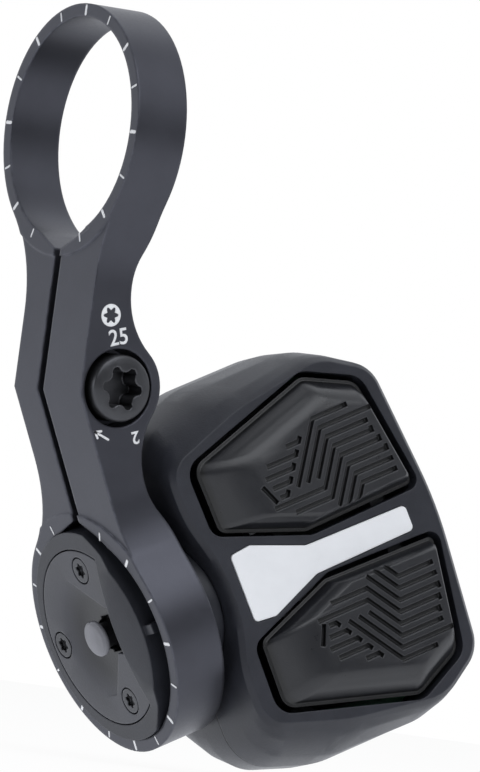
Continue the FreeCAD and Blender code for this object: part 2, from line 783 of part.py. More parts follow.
def rear_shell():
    """Back half of the pod as an open shell, with the solid wall of the well and the posts."""
    wires = [section(outline(PARTING_CORNERS), PARTING_Y)]
    for deep, share in BACK_STEPS:
        y = BAND_END + (BACK_Y - BAND_END) * deep
        wires.append(section(between(PARTING_CORNERS, BACK_CORNERS, share), y))
    shell = Part.makeLoft(wires, True, True)
    room = Part.makeLoft([
        section(inner_outline(PARTING_CORNERS, WALL), PARTING_Y),
        section(inner_outline(PARTING_CORNERS, WALL), BAND_END),
        section(inner_outline(BACK_CORNERS, WALL), BACK_Y - WALL),
    ], True, True)
    posts = [cyl(DOOR_R + DOOR_GAP + WELL_WALL, V(WELL_X, FLOOR_Y - WELL_FLOOR_T, 0), V(WELL_X, BACK_Y, 0))]
    for x, z in screw_places():
        posts.append(cyl(SCREW_TUBE_R, V(x, PARTING_Y, z), V(x, BACK_Y, z)))
    for x, z in standoff_places():
        posts.append(cyl(STANDOFF_R, V(x, BOARD_BACK, z), V(x, FLOOR_Y, z)))
    return shell.cut(room.cut(Part.makeCompound(posts)))


def rear_openings():
    """What is taken out of the back half: cell well, lock, contact ways, seal groove and screw holes."""
    openings = [
        cyl(DOOR_R + DOOR_GAP, V(WELL_X, FLOOR_Y, 0), V(WELL_X, BACK_Y + PAST, 0)),
        lock_room(),
        negative_leg(CONTACT_GAP),
        positive_leg(CONTACT_GAP),
        seal_ring(PARTING_Y, PARTING_Y + SEAL_DEPTH + SEAL_GAP, SEAL_GAP),
        flex_run(FLEX_GAP),
    ]
    for x, z in screw_places():
        openings.append(cyl(SCREW_R + PIN_GAP, V(x, PARTING_Y, z), V(x, SCREW_SEAT_Y, z)))
        openings.append(cyl(SCREW_HEAD_R + CAP_GAP, V(x, SCREW_SEAT_Y, z), V(x, BACK_Y + PAST, z)))
    return openings


def cap_outline(grow, x0, x1):
    """D-shaped prism: a round cap with its front side cut straight."""
    disc = cyl(CAP_R + grow, V(x0, CAP_SHIFT, 0), V(x1, CAP_SHIFT, 0))
    return disc.common(box((-BIG, BIG), (-CAP_CHORD - grow, BIG), (-BIG, BIG)))


def screw_spots():
    return [(-front, up) for front, up in CAP_SCREW_PLACES]


def ridge():
    """Low ridge along the front edge of the cap seat, fading out to both sides."""
    seat_y = -CAP_CHORD - CAP_GAP
    profile = Part.makePolygon([
        V(BOSS_END, seat_y, -BIG / 2),
        V(BOSS_END - RIDGE_RISE, seat_y, -BIG / 2),
        V(BOSS_END, -RELIEF_FRONT, -BIG / 2),
        V(BOSS_END, seat_y, -BIG / 2),
    ])
    bow_r = (RIDGE_REACH ** 2 + RIDGE_RISE ** 2) / (2 * RIDGE_RISE)
    bow_x = BOSS_END - RIDGE_RISE + bow_r
    bow = cyl(bow_r, V(bow_x, -BIG, 0), V(bow_x, BIG, 0))
    return Part.Face(profile).extrude(V(0, 0, BIG)).common(bow)


def boss():
    """Round boss that the lower ring grips, with its root, cap seat, ridge, relief and pockets."""
    body = cyl(BOSS_R, V(BOSS_END, 0, 0), V(ROOT_X, 0, 0)).fuse(ridge())
    keep = cyl(RELIEF_R, V(-BIG, RELIEF_R - RELIEF_FRONT, 0), V(BIG, RELIEF_R - RELIEF_FRONT, 0))
    body = body.cut(box((-BIG, BOSS_END + RELIEF_DEPTH), (-BIG, 0), (-BIG, BIG)).cut(keep))
    body = body.cut(cap_outline(CAP_GAP, BOSS_END - PAST - RIDGE_RISE, CAP_SEAT))
    body = body.cut(cyl(POCKET_R, V(CAP_SEAT, 0, 0), V(POCKET_END, 0, 0)))
    for y, z in screw_spots():
        body = body.cut(cyl(CAP_SCREW_R + PIN_GAP, V(CAP_SEAT, y, z), V(cap_screw_tip() + PIN_GAP, y, z)))
    peg_x = BOSS_END + PEG_LOW
    peg = box((peg_x, peg_x + PEG_LENGTH), (-PEG_REACH, -RELIEF_FRONT + PEG_ROOT), PEG_Z)
    root = cyl(ROOT_R, V(ROOT_X, 0, 0), V(ROOT_X + ROOT_LENGTH, 0, 0))
    return body.multiFuse([peg, root])


def cap_screw_tip():
    return BOSS_END + CAP_SCREW_HEAD_H + CAP_SCREW_LENGTH


def flex_run(gap):
    """Straight run of the flat lead from the function board into the pod, or the room for it."""
    half = FLEX_W / 2 + gap
    end = CAVITY_X + FLEX_REACH
    return box((POCKET_END, end), (-FLEX_T - gap, gap), (-half, half))


def function_flex():
    end = CAVITY_X + FLEX_REACH
    leg = box((end - FLEX_T, end), (BOARD_BACK, 0), (-FLEX_W / 2, FLEX_W / 2))
    return flex_run(0).fuse(leg).removeSplitter()


def rear_housing():
    shell = rear_shell().fuse(boss())
    for opening in rear_openings():
        shell = shell.cut(opening)
    return shell.removeSplitter()


def housing_seal():
    return seal_ring(PARTING_Y, PARTING_Y + SEAL_DEPTH, 0)


def housing_screws():
    screws = []
    for x, z in screw_places():
        head = cyl(SCREW_HEAD_R, V(x, SCREW_SEAT_Y, z), V(x, SCREW_SEAT_Y + SCREW_HEAD_H, z))
        shank = cyl(SCREW_R, V(x, SCREW_TIP_Y, z), V(x, SCREW_SEAT_Y, z))
        top = SCREW_SEAT_Y + SCREW_HEAD_H
        socket = six_lobe(SCREW_R, V(x, top + PAST, z), V(x, top - SCREW_HEAD_H / 2, z))
        screws.append(head.fuse(shank).cut(socket))
    return Part.makeCompound(screws)


# Boards, switches and membrane

def main_board():
    shape = grown(inner_outline(PARTING_CORNERS, WALL), -BOARD_GAP)
    board = prism(section(shape, PARTING_Y), BOARD_T)
    for x, z in screw_places():
        board = board.cut(cyl(SCREW_TUBE_R + BOARD_GAP, V(x, FRONT_Y, z), V(x, BACK_Y, z)))
    return board


def upper_switch():
    half = SWITCH_SIZE / 2
    top = PARTING_Y - SWITCH_H
    body = box((POST_X - half, POST_X + half), (top, PARTING_Y), (POST_Z - half, POST_Z + half))
    plunger = cyl(PLUNGER_R, V(POST_X, top, POST_Z), V(POST_X, top - PLUNGER_H, POST_Z))
    return body.fuse(plunger)


def button_membrane():
    """Rubber mat over the switches, with a dome for each paddle and a rim down to the board."""
    shape = grown(inner_outline(FRONT_CORNERS, WALL), -BOARD_GAP)
    rim_end = PARTING_Y - SEAT_GAP
    mat = prism(section(shape, MEMBRANE_FRONT), rim_end - MEMBRANE_FRONT)
    mat = mat.cut(prism(section(grown(shape, -MEMBRANE_RIM), MEMBRANE_BACK), rim_end - MEMBRANE_BACK + PAST))
    for x, z in screw_places():
        mat = mat.cut(cyl(SCREW_TUBE_R + BOARD_GAP, V(x, FRONT_Y, z), V(x, BACK_Y, z)))
    domes = []
    for z in (POST_Z, -POST_Z):
        domes.append(cyl(DOME_R, V(POST_X, MEMBRANE_FRONT, z), V(POST_X, MEMBRANE_FRONT - DOME_H, z)))
    return mat.multiFuse(domes)


def radio_module():
    half_x, half_z = RADIO_SIZE[0] / 2, RADIO_SIZE[1] / 2
    return box((WELL_X - half_x, WELL_X + half_x), (BOARD_BACK, BOARD_BACK + RADIO_H), (-half_z, half_z))


# Cell, contacts and door

def coin_cell():
    can = cyl(CELL_R, V(WELL_X, CELL_Y + CELL_STEP, 0), V(WELL_X, CELL_Y + CELL_T, 0))
    return can.fuse(cyl(CELL_STEP_R, V(WELL_X, CELL_Y, 0), V(WELL_X, CELL_Y + CELL_STEP, 0)))


def contact_negative():
    half = CONTACT_W / 2
    ends = (WELL_X - CONTACT_REACH, WELL_X + CONTACT_REACH)
    leaf = box(ends, (FLOOR_Y, FLOOR_Y + CONTACT_T), (-half, half))
    return leaf.fuse(negative_leg(0)).removeSplitter()


def battery_door():
    flange_y = BACK_Y - DOOR_FLANGE_T
    door = cyl(DOOR_R, V(WELL_X, flange_y, 0), V(WELL_X, BACK_Y, 0))
    plug = cyl(DOOR_PLUG_R, V(WELL_X, DOOR_IN_Y, 0), V(WELL_X, flange_y, 0))
    lugs = lock_lugs(0, DOOR_IN_Y, DOOR_IN_Y + LOCK_T, 0)
    door = door.fuse(plug).multiFuse(lugs)
    slot = box((WELL_X - DOOR_SLOT_LENGTH / 2, WELL_X + DOOR_SLOT_LENGTH / 2),
               (BACK_Y - DOOR_SLOT_DEPTH, BACK_Y + PAST), (-DOOR_SLOT_WIDTH / 2, DOOR_SLOT_WIDTH / 2))
    return door.cut(slot)


def door_seal():
    y = BACK_Y - DOOR_FLANGE_T - SEAL_R - PIN_GAP
    inner = DOOR_PLUG_R + PIN_GAP
    ring = cyl(inner + 2 * SEAL_R, V(WELL_X, y - SEAL_R, 0), V(WELL_X, y + SEAL_R, 0))
    return ring.cut(cyl(inner, V(WELL_X, y - PAST, 0), V(WELL_X, y + PAST, 0)))


# Boss end: cap, seal, screws, function button and its switch

def end_cap():
    cap = cap_outline(0, BOSS_END, BOSS_END + CAP_T)
    dish = Part.makeCone(DISH_R, DISH_FLOOR_R, DISH_DEPTH, V(BOSS_END, 0, 0), V(1, 0, 0))
    corners = [V(BOSS_END - PAST, y, z) for y, z in DISH_CORNERS]
    fan = Part.Face(Part.makePolygon(corners + corners[:1])).extrude(V(CAP_T + PAST, 0, 0))
    cap = cap.cut(dish.common(fan))
    cap = cap.cut(cyl(KEY_STEM_R + KEY_GAP, V(BOSS_END - PAST, 0, 0), V(CAP_SEAT, 0, 0)))
    cap = cap.cut(box((BOSS_END - PAST, CAP_SEAT), (-CAP_CHORD - PAST, 0), (-KEY_SLOT, KEY_SLOT)))
    head_seat = BOSS_END + CAP_SCREW_HEAD_H
    for y, z in screw_spots():
        cap = cap.cut(cyl(CAP_SCREW_HEAD_R + CAP_GAP, V(BOSS_END - PAST, y, z), V(head_seat, y, z)))
        cap = cap.cut(cyl(CAP_SCREW_R + PIN_GAP, V(head_seat, y, z), V(CAP_SEAT, y, z)))
    return cap


def cap_seal():
    under = BOSS_END + CAP_T
    ring = cap_outline(-CAP_GAP, under, CAP_SEAT)
    return ring.cut(cap_outline(-CAP_GAP - CAP_SEAL_WIDTH, under, CAP_SEAT))


def cap_screws():
    screws = []
    head_seat = BOSS_END + CAP_SCREW_HEAD_H
    for y, z in screw_spots():
        head = cyl(CAP_SCREW_HEAD_R, V(BOSS_END, y, z), V(head_seat, y, z))
        shank = cyl(CAP_SCREW_R, V(head_seat, y, z), V(cap_screw_tip(), y, z))
        socket = six_lobe(CAP_SCREW_R, V(BOSS_END - PAST, y, z), V(BOSS_END + CAP_SCREW_HEAD_H / 2, y, z))
        screws.append(head.fuse(shank).cut(socket))
    return Part.makeCompound(screws)


def function_button():
    top = BOSS_END - KEY_PROUD
    disc = turned_disc(KEY_R, KEY_ROUND, V(top, 0, 0), V(top + KEY_T, 0, 0))
    stem = cyl(KEY_STEM_R, V(top + KEY_T, 0, 0), V(KEY_FLANGE_X, 0, 0))
    flange = cyl(KEY_FLANGE_R, V(KEY_FLANGE_X, 0, 0), V(KEY_FLANGE_X + KEY_FLANGE_T, 0, 0))
    return disc.fuse(stem).fuse(flange)


def function_board():
    return cyl(POCKET_R - FUNCTION_BOARD_GAP, V(FUNCTION_BOARD_X, 0, 0), V(POCKET_END, 0, 0))


def function_switch():
    half = SWITCH_SIZE / 2
    body = box((FUNCTION_BOARD_X - SWITCH_H, FUNCTION_BOARD_X), (-half, half), (-half, half))
    top = FUNCTION_BOARD_X - SWITCH_H
    return body.fuse(cyl(PLUNGER_R, V(top, 0, 0), V(top - PLUNGER_H, 0, 0)))


PIECES = {}


def save(name, shape):
    PIECES[name] = shape
    shape.exportStep("parts/" + name + ".step")


def main():
    os.makedirs("parts", exist_ok=True)
    save("bar_clamp", bar_clamp())
    save("clamp_bolt", clamp_bolt())
    save("front_cover", placed(front_cover()))
    save("rear_housing", placed(rear_housing()))
    save("badge_plate", placed(badge_plate()))
    upper = upper_paddle()
    save("upper_button", placed(upper))
    save("lower_button", placed(mirrored(upper)))
    save("upper_hinge_pin", placed(hinge_pin()))
    save("lower_hinge_pin", placed(mirrored(hinge_pin())))
    save("upper_switch", placed(upper_switch()))
    save("lower_switch", placed(mirrored(upper_switch())))
    for piece in (
        housing_seal, housing_screws, main_board, button_membrane, radio_module, coin_cell,
        battery_door, door_seal, end_cap, cap_seal, cap_screws, function_button, function_board,
        function_switch, function_flex,
    ):
        save(piece.__name__, placed(piece()))
    save("cell_contact_negative", placed(contact_negative()))
    save("cell_contact_positive", placed(positive_leg(0)))
    for name, shape in PIECES.items():
        b = shape.BoundBox
        print(name, shape.isValid(), len(shape.Solids), len(shape.Faces), round(shape.Volume, 1),
              [round(v, 1) for v in (b.XMin, b.YMin, b.ZMin, b.XMax, b.YMax, b.ZMax)])


main()
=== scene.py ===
import json
import math

import bmesh
import bpy
from mathutils import Matrix, Vector


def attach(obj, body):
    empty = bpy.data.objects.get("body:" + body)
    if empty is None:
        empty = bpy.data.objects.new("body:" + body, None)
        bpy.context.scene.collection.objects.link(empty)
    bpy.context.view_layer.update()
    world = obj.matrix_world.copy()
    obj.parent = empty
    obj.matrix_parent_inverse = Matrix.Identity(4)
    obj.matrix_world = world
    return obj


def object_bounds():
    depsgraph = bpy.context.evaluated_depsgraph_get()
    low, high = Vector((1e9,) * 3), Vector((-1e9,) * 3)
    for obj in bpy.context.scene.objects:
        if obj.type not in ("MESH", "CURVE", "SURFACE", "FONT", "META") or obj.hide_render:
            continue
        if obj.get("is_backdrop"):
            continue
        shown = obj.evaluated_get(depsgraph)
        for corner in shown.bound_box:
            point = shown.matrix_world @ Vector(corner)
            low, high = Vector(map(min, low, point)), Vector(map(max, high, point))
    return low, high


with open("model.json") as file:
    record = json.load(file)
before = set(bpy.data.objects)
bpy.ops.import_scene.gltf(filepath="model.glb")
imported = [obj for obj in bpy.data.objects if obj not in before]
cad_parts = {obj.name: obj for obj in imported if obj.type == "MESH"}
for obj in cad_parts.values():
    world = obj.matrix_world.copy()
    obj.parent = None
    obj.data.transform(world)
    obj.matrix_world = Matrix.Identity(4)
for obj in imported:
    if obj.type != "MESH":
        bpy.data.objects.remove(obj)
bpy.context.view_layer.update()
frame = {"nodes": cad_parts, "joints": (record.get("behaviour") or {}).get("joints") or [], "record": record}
nodes = frame["nodes"]
joints = {joint["name"]: joint for joint in frame["joints"]}
mounts = {mount["name"]: mount for mount in frame["record"]["mounts"]}
scene = bpy.context.scene

# Sizes in millimetres that the looks share with the CAD solids
MM = 0.001
BAR_R = mounts["handlebar"]["dims"]["r_mm"]
NEAR_X = -mounts["handlebar"]["dims"]["length_mm"] / 2
ARM_FRONT = 8.2
SLIT_OFFSET = 0.6
NOTCH_HALF = 2.7
NOTCH_DEPTH = 1.3
POD_RING = Vector(joints["pod_swivel"]["pos_m"]) / MM
POD_AXIS = Vector(joints["pod_swivel"]["axis"])
POD_BACK = Vector(joints["door_turn"]["axis"])
POD_RING_UP = Vector((-POD_AXIS.z, 0, POD_AXIS.x))

# Camera of the photograph, in metres: a long lens, rolled by about 8 degrees
VIEW_POINT = Vector((20.935, -0.080, -22.993)) * MM
VIEW_FORWARD = Vector((0.5377, 0.8429, 0.0181))
VIEW_RIGHT = Vector((0.8342, -0.5350, 0.1335))
VIEW_DISTANCE = 1.2696
VIEW_HEIGHT = 77.316 * MM
SENSOR = 36.0
CLIP_START = 0.01


# Shader helpers

def links(tree, *pairs):
    for out, into in pairs:
        tree.links.new(out, into)


def math_node(tree, operation, a, b=None):
    """A math node whose inputs are sockets or numbers."""
    node = tree.nodes.new("ShaderNodeMath")
    node.operation = operation
    for socket, value in zip(node.inputs, (a, b)):
        if value is None:
            continue
        if isinstance(value, (int, float)):
            socket.default_value = value
        else:
            tree.links.new(value, socket)
    return node.outputs[0]


def dot_product(tree, a, b):
    """Dot product of a socket with a second socket or a fixed vector."""
    node = tree.nodes.new("ShaderNodeVectorMath")
    node.operation = "DOT_PRODUCT"
    tree.links.new(a, node.inputs[0])
    if isinstance(b, Vector):
        node.inputs[1].default_value = b
    else:
        tree.links.new(b, node.inputs[1])
    return node.outputs["Value"]


def ramp(tree, value, low, high, out_low=0.0, out_high=1.0):
    """Smooth step from one level to another."""
    node = tree.nodes.new("ShaderNodeMapRange")
    node.interpolation_type = "SMOOTHSTEP"
    node.inputs["From Min"].default_value = low
    node.inputs["From Max"].default_value = high
    node.inputs["To Min"].default_value = out_low
    node.inputs["To Max"].default_value = out_high
    tree.links.new(value, node.inputs["Value"])
    return node.outputs["Result"]


def noise(tree, place, scale, detail=3.0, rough=0.5):
    node = tree.nodes.new("ShaderNodeTexNoise")
    node.inputs["Scale"].default_value = scale
    node.inputs["Detail"].default_value = detail
    node.inputs["Roughness"].default_value = rough
    tree.links.new(place, node.inputs["Vector"])
    return node.outputs["Fac"]


def blend(tree, factor, a, b):
    """Colour mix of two sockets or colours."""
    node = tree.nodes.new("ShaderNodeMix")
    node.data_type = "RGBA"
    tree.links.new(factor, node.inputs["Factor"])
    for socket, value in ((node.inputs["A"], a), (node.inputs["B"], b)):
        if isinstance(value, tuple):
            socket.default_value = (*value, 1.0)
        else:
            tree.links.new(value, socket)
    return node.outputs["Result"]


def scaled(colour, by):
    return tuple(min(c * by, 1.0) for c in colour)


# Finishes; the scales of the noise are per metre, the other lengths in millimetres
CLOUD_SCALE, CLOUD_DETAIL, CLOUD_ROUGH = 260.0, 4.0, 0.6
GRAIN_SCALE, GRAIN_DETAIL, GRAIN_ROUGH = 5200.0, 2.0, 0.55
PATCH_SCALE = 900.0
CLOUD_SPAN = (0.3, 0.7)
SHEEN_SPAN = (0.25, 0.75)
GRAIN_SPAN = (0.3, 0.7)
PATCH_SPAN = (0.3, 0.65)
GRAIN_BUMP = 0.5
GRAIN_SHEEN = 0.03
NODE_SAMPLES = 6
EDGE_STARTS, EDGE_FULL = 0.995, 0.86
HOLLOW_SHADE_REACH = 0.9
HOLLOW_SHADE_FULL, HOLLOW_SHADE_STARTS = 0.3, 0.85
HOLLOW_SHADE_LEFT = 0.1
SEAM_Y = -3.3
SEAM_START, SEAM_FADE = 3.7, 0.3
SEAM_DARK, SEAM_HALF = 0.04, 0.11
SEAM_LEFT = 0.05


def soft_edges(tree, radius):
    """Normal that is rounded off at the edges, and a mask that is high on them."""
    bevel = tree.nodes.new("ShaderNodeBevel")
    bevel.samples = NODE_SAMPLES
    bevel.inputs["Radius"].default_value = radius * MM
    normal = tree.nodes.new("ShaderNodeNewGeometry").outputs["Normal"]
    likeness = dot_product(tree, bevel.outputs[0], normal)
    return bevel.outputs[0], ramp(tree, likeness, EDGE_STARTS, EDGE_FULL)


def along(tree, place, direction):
    """Distance from the centre of the pod's ring along a direction, in millimetres."""
    distance = dot_product(tree, place, direction / MM)
    return math_node(tree, "SUBTRACT", distance, POD_RING.dot(direction))


def seam_line(tree, place):
    """Mask of the shadow line where the two halves of the housing meet."""
    off = math_node(tree, "SUBTRACT", along(tree, place, POD_BACK), SEAM_Y)
    line = ramp(tree, math_node(tree, "ABSOLUTE", off), SEAM_DARK, SEAM_HALF, 1.0, 0.0)
    pod_side = ramp(tree, along(tree, place, POD_AXIS), SEAM_START, SEAM_START + SEAM_FADE)
    return math_node(tree, "MULTIPLY", line, pod_side)


def surface(name, colour, roughness, metallic=0.0, grain=0.02, spread=0.12, mottle=0.04, edge_wear_and_highlight=2.2,
            edge_radius=0.22, specular=0.5, streak=None, hollow_shade=0.0, painted_shade_past=None, seam=False):
    """Procedural finish: cloudy colour, mottled roughness, fine grain, and edges lighter from wear and from
    a painted highlight.

    The argument for shade past a depth holds a direction on the pod, where a painted shade starts and is
    full along it, and what it leaves of the colour.
    """
    material = bpy.data.materials.new(name)
    material.use_nodes = True
    tree = material.node_tree
    shader = tree.nodes["Principled BSDF"]
    place = tree.nodes.new("ShaderNodeTexCoord").outputs["Object"]
    shader.inputs["Metallic"].default_value = metallic
    shader.inputs["Specular IOR Level"].default_value = specular
    fine_place = place
    if streak:
        mapping = tree.nodes.new("ShaderNodeMapping")
        mapping.inputs["Scale"].default_value = streak
        tree.links.new(place, mapping.inputs["Vector"])
        fine_place = mapping.outputs["Vector"]
    clouds = noise(tree, place, CLOUD_SCALE, CLOUD_DETAIL, CLOUD_ROUGH)
    fine = noise(tree, fine_place, GRAIN_SCALE, GRAIN_DETAIL, GRAIN_ROUGH)

    cloudy = ramp(tree, clouds, *CLOUD_SPAN)
    base = blend(tree, cloudy, scaled(colour, 1 - spread), scaled(colour, 1 + spread))
    rounded, edges = soft_edges(tree, edge_radius)
    patches = ramp(tree, noise(tree, place, PATCH_SCALE), *PATCH_SPAN)
    # Edges lighter in random patches: partly wear, partly a painted highlight along the edges.
    base = blend(tree, math_node(tree, "MULTIPLY", edges, patches), base, scaled(colour, edge_wear_and_highlight))
    # Painted shade: colour darker in grooves, gaps and other hollows that the AO node finds.
    if hollow_shade:
        shade = tree.nodes.new("ShaderNodeAmbientOcclusion")
        shade.samples = NODE_SAMPLES
        shade.inputs["Distance"].default_value = HOLLOW_SHADE_REACH * MM
        depth = ramp(tree, shade.outputs["AO"], HOLLOW_SHADE_FULL, HOLLOW_SHADE_STARTS, hollow_shade, 0.0)
        base = blend(tree, depth, base, scaled(colour, HOLLOW_SHADE_LEFT))
    # Painted shade: colour darker past a depth along a direction on the pod.
    if painted_shade_past:
        direction, start, full, left = painted_shade_past
        shaded = ramp(tree, along(tree, place, direction), start, full)
        base = blend(tree, shaded, base, scaled(colour, left))
    if seam:
        base = blend(tree, seam_line(tree, place), base, scaled(colour, SEAM_LEFT))

    mottled = math_node(tree, "ADD",
                        ramp(tree, clouds, *SHEEN_SPAN, roughness - mottle, roughness + mottle),
                        ramp(tree, fine, *GRAIN_SPAN, -GRAIN_SHEEN, GRAIN_SHEEN))
    bump = tree.nodes.new("ShaderNodeBump")
    bump.inputs["Strength"].default_value = GRAIN_BUMP
    bump.inputs["Distance"].default_value = grain * MM
    links(tree, (base, shader.inputs["Base Color"]), (mottled, shader.inputs["Roughness"]),
          (fine, bump.inputs["Height"]), (rounded, bump.inputs["Normal"]),
          (bump.outputs["Normal"], shader.inputs["Normal"]))
    return material


# Colour, roughness and character of each material slot, and of single nodes that differ from theirs
LOOKS = {
    # Clamp: its lighter edges are partly wear, partly a painted highlight.
    "clamp_metal": dict(colour=(0.065, 0.0663, 0.079), roughness=0.38, metallic=0.85, grain=0.01,
                        spread=0.04, mottle=0.012, edge_wear_and_highlight=1.6, edge_radius=0.38),
    # Bolt: painted shade in its socket and hollows, and lighter edges partly from a painted highlight.
    "bolt_steel": dict(colour=(0.066, 0.067, 0.072), roughness=0.36, metallic=0.8, grain=0.015,
                       edge_wear_and_highlight=2.8, hollow_shade=0.8),
    "pin_steel": dict(colour=(0.55, 0.55, 0.57), roughness=0.3, metallic=1.0, grain=0.006,
                      streak=(0.1, 1, 1)),
    "housing_plastic": dict(colour=(0.028, 0.0294, 0.037), roughness=0.38, grain=0.03, mottle=0.025,
                            edge_wear_and_highlight=1.6, specular=0.3, seam=True),
    # Paddles: painted shade in their hollows and in the gap past their waist.
    "paddle_plastic": dict(colour=(0.012, 0.0126, 0.0155), roughness=0.32, mottle=0.025, edge_wear_and_highlight=1.8,
                           specular=0.55, hollow_shade=0.9, painted_shade_past=(POD_BACK, -11.6, -11.15, 0.08)),
    # End cap: painted shade in its dish, darker with depth.
    "end_cap": dict(colour=(0.031, 0.032, 0.042), roughness=0.38, grain=0.03, mottle=0.025, edge_wear_and_highlight=1.6,
                    painted_shade_past=(POD_AXIS, -3.23, -2.5, 0.3)),
    # Key: painted shade on its stem under the cap.
    "key_plastic": dict(colour=(0.18, 0.18, 0.2), roughness=0.42, edge_wear_and_highlight=1.4,
                        painted_shade_past=(POD_AXIS, -3.5, -3.35, 0.08)),
    "badge_white": dict(colour=(0.93, 0.935, 0.95), roughness=0.32, grain=0.004, spread=0.02, edge_wear_and_highlight=1.05),
    "seal_rubber": dict(colour=(0.012, 0.012, 0.012), roughness=0.7, grain=0.03),
    "board": dict(colour=(0.02, 0.12, 0.05), roughness=0.4, grain=0.01),
    "function_board": dict(colour=(0.012, 0.013, 0.014), roughness=0.5, grain=0.01),
    "flex": dict(colour=(0.42, 0.2, 0.03), roughness=0.35, grain=0.008),
    "switch_plastic": dict(colour=(0.06, 0.06, 0.066), roughness=0.45),
    "can_steel": dict(colour=(0.6, 0.6, 0.62), roughness=0.28, metallic=1.0, grain=0.006,
                      streak=(1, 0.1, 1)),
    "contact_brass": dict(colour=(0.7, 0.52, 0.24), roughness=0.3, metallic=1.0, grain=0.006),
}
FINISHES = {name: surface(name, **look) for name, look in LOOKS.items()}
PAINT = surface("white_paint", (0.95, 0.95, 0.96), 0.5, grain=0.006, spread=0.03, edge_wear_and_highlight=1.0)


# CAD nodes: welded, with smooth curved faces and some softened edges
WELD_REACH = 0.002
SHARP_ANGLE = math.radians(28)
FLAT_ANGLE = math.radians(0.5)
BEVEL_ANGLE = math.radians(35)
BEVEL_SEGMENTS = 2
EDGE_WIDTHS = {
    "front_cover": 0.12,
    "rear_housing": 0.12,
    "clamp_bolt": 0.1,
    "function_button": 0.2,
    "battery_door": 0.15,
    "badge_plate": 0.05,
    "cap_screws": 0.08,
    "housing_screws": 0.08,
    "coin_cell": 0.15,
}


def smoothing():
    """Node group that shades curved faces smooth and keeps real edges sharp."""
    group = bpy.data.node_groups.new("smooth_by_angle", "GeometryNodeTree")
    group.interface.new_socket("Geometry", in_out="INPUT", socket_type="NodeSocketGeometry")
    group.interface.new_socket("Geometry", in_out="OUTPUT", socket_type="NodeSocketGeometry")
    start = group.nodes.new("NodeGroupInput")
    end = group.nodes.new("NodeGroupOutput")
    drop = group.nodes.new("GeometryNodeRemoveAttribute")
    drop.inputs["Name"].default_value = "custom_normal"
    faces = group.nodes.new("GeometryNodeSetShadeSmooth")
    edges = group.nodes.new("GeometryNodeSetShadeSmooth")
    edges.domain = "EDGE"
    edges.inputs["Shade Smooth"].default_value = False
    angle = group.nodes.new("GeometryNodeInputMeshEdgeAngle")
    sharp = group.nodes.new("FunctionNodeCompare")
    sharp.inputs["B"].default_value = SHARP_ANGLE
    links(
        group,
        (start.outputs[0], drop.inputs["Geometry"]),
        (drop.outputs["Geometry"], faces.inputs["Geometry"]),
        (faces.outputs["Geometry"], edges.inputs["Geometry"]),
        (angle.outputs["Unsigned Angle"], sharp.inputs["A"]),
        (sharp.outputs["Result"], edges.inputs["Selection"]),
        (edges.outputs["Geometry"], end.inputs[0]),
    )
    return group


def dress(name, slot, smooth_group):
    """Give a CAD node its finish and the modifiers of its looks."""
    piece = nodes[name]
    piece.data.materials.clear()
    piece.data.materials.append(FINISHES.get(name) or FINISHES[slot])
    weld = piece.modifiers.new("weld", "WELD")
    weld.merge_threshold = WELD_REACH * MM
    smooth = piece.modifiers.new("smooth", "NODES")
    smooth.node_group = smooth_group
    if name in EDGE_WIDTHS:
        flat = piece.modifiers.new("flat", "DECIMATE")
        flat.decimate_type = "DISSOLVE"
        flat.angle_limit = FLAT_ANGLE
        bevel = piece.modifiers.new("edges", "BEVEL")
        bevel.width = EDGE_WIDTHS[name] * MM
        bevel.segments = BEVEL_SEGMENTS
        bevel.limit_method = "ANGLE"
        bevel.angle_limit = BEVEL_ANGLE
        bevel.harden_normals = True
        bevel.miter_outer = "MITER_ARC"


smooth_by_angle = smoothing()
for row in frame["record"]["subparts"]:
    dress(row["node"], row["material_slot"], smooth_by_angle)


# Meshes that the scene adds

def strip(bm, a, b):
    """Faces between two closed loops with as many corners."""
    for i in range(len(a)):
        j = (i + 1) % len(a)
        bm.faces.new((a[i], a[j], b[j], b[i]))


def close_solid(bm, low, high):
    """Faces between two outlines with as many corners, and over both ends."""
    bm.faces.new(high)
    bm.faces.new(low[::-1])
    strip(bm, low, high)


def finish_piece(name, bm, body, material):
    """Make an object of the mesh, which moves with a body of the part."""
    bmesh.ops.recalc_face_normals(bm, faces=bm.faces)
    mesh = bpy.data.meshes.new(name)
    bm.to_mesh(mesh)
    bm.free()
    mesh.materials.append(material)
    piece = bpy.data.objects.new(name, mesh)
    scene.collection.objects.link(piece)
    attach(piece, body)


def basis(origin, x, y):
    """Matrix with its local X and Y along the given directions."""
    x, y = Vector(x).normalized(), Vector(y).normalized()
    z = x.cross(y)
    return Matrix.Translation(Vector(origin)) @ Matrix((x, y, z)).transposed().to_4x4()


# Painted marks: thin plates that sit in the surface they mark
PAINT_LOW = -0.03
PAINT_HIGH = 0.015
STROKE_STEPS = 5
ARM_FACE = basis((0, -ARM_FRONT, 0), (1, 0, 0), (0, 0, 1))
BAR_DIAL = basis((NEAR_X, 0, 0), (0, -1, 0), (0, 0, 1))
POD_DIAL = basis(POD_RING + POD_AXIS * NEAR_X, (0, -1, 0), POD_RING_UP)


def plate(bm, outline, place):
    """A thin plate with the given outline, in a plane whose height is along local +Z."""
    low, high = ([bm.verts.new(place @ Vector((x, y, height)) * MM) for x, y in outline]
                 for height in (PAINT_LOW, PAINT_HIGH))
    close_solid(bm, low, high)


def stroke(a, b, width):
    """Outline of a straight stroke with round ends."""
    a, b = Vector(a), Vector(b)
    ahead = (b - a).normalized()
    across = Vector((-ahead.y, ahead.x))
    outline = []
    for centre, way in ((b, 1), (a, -1)):
        for i in range(STROKE_STEPS + 1):
            turn = math.pi * (i / STROKE_STEPS - 0.5)
            out = ahead * math.cos(turn) + across * math.sin(turn)
            outline.append(centre + out * way * width / 2)
    return [(p.x, p.y) for p in outline]


